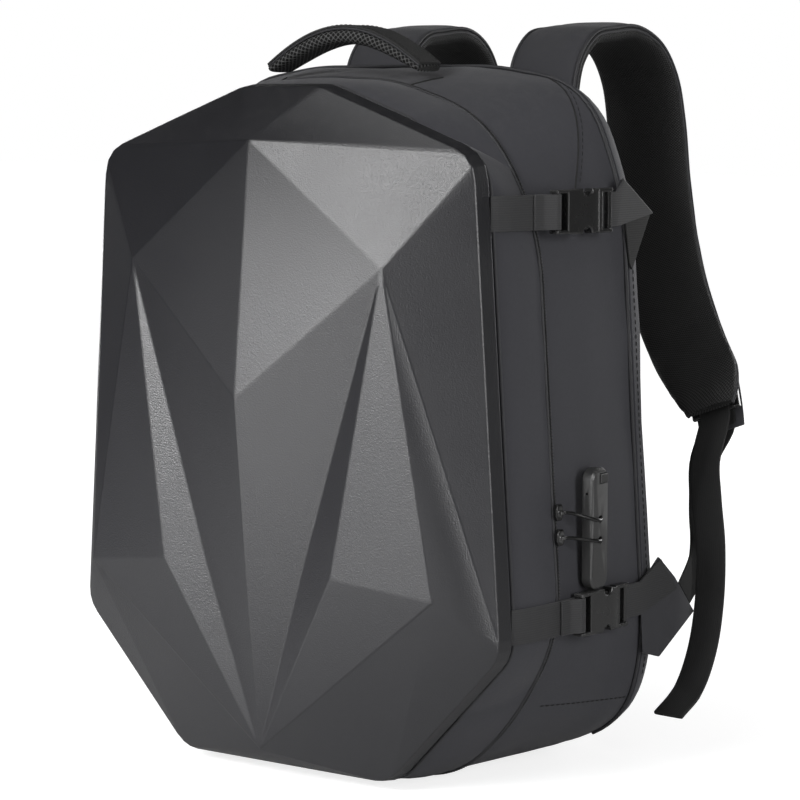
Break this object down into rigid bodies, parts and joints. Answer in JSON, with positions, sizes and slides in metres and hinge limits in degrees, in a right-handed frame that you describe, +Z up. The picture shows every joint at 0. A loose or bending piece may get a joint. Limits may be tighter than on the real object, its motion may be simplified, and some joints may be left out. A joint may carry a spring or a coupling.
{
  "type": "hard shell backpack",
  "caption": "Backpack with a faceted moulded front shell, fabric bag, grab handle, padded shoulder straps, side compression straps and a zip lock.",
  "frame": {"origin": "on the floor under the middle of the bag's base, 115 mm behind the shell's front edge", "axes": "+Z up along the bag's height, -Y towards the hard shell's front, +X towards the side with the lock"},
  "size_m": [0.4272, 0.3906, 0.5124],
  "materials": {
    "shell": "satin dark grey moulded shell",
    "fabric": "smooth coated dark grey fabric",
    "mesh": "padded black air mesh",
    "webbing": "woven dark grey webbing",
    "buckle_plastic": "semi gloss black moulded plastic",
    "lock_plastic": "satin dark grey moulded plastic",
    "metal": "gloss black plated metal"
  },
  "bodies": {
    "pack": {"front_shell": "shell", "front_gusset": "fabric", "main_zip": "webbing", "bag_body": "fabric", "rear_piping": "webbing", "back_panel": "mesh", "handle_pad": "mesh", "handle_cover": "fabric", "upper_buckle_female_right": "buckle_plastic", "upper_buckle_male_right": "buckle_plastic", "upper_front_webbing_right": "webbing", "upper_rear_webbing_right": "webbing", "lower_buckle_female_right": "buckle_plastic", "lower_buckle_male_right": "buckle_plastic", "lower_front_webbing_right": "webbing", "lower_rear_webbing_right": "webbing", "side_wing_right": "fabric", "adjuster_webbing_right": "webbing", "shoulder_strap_right": "mesh", "strap_slider_right": "buckle_plastic", "upper_buckle_female_left": "buckle_plastic", "upper_buckle_male_left": "buckle_plastic", "upper_front_webbing_left": "webbing", "upper_rear_webbing_left": "webbing", "lower_buckle_female_left": "buckle_plastic", "lower_buckle_male_left": "buckle_plastic", "lower_front_webbing_left": "webbing", "lower_rear_webbing_left": "webbing", "side_wing_left": "fabric", "adjuster_webbing_left": "webbing", "shoulder_strap_left": "mesh", "strap_slider_left": "buckle_plastic", "lock_body": "lock_plastic", "zip_slider_upper": "metal", "zip_slider_lower": "metal", "zip_pull_upper": "metal", "zip_pull_lower": "metal"},
    "lock_button": {"lock_button": "lock_plastic"}
  },
  "joints": [
    {"name": "lock_button_press", "type": "slide", "parent": "pack", "child": "lock_button", "axis": [-1, 0, 0], "range_m": [0, 0.0015], "stiffness_N_per_m": 400}
  ]
}
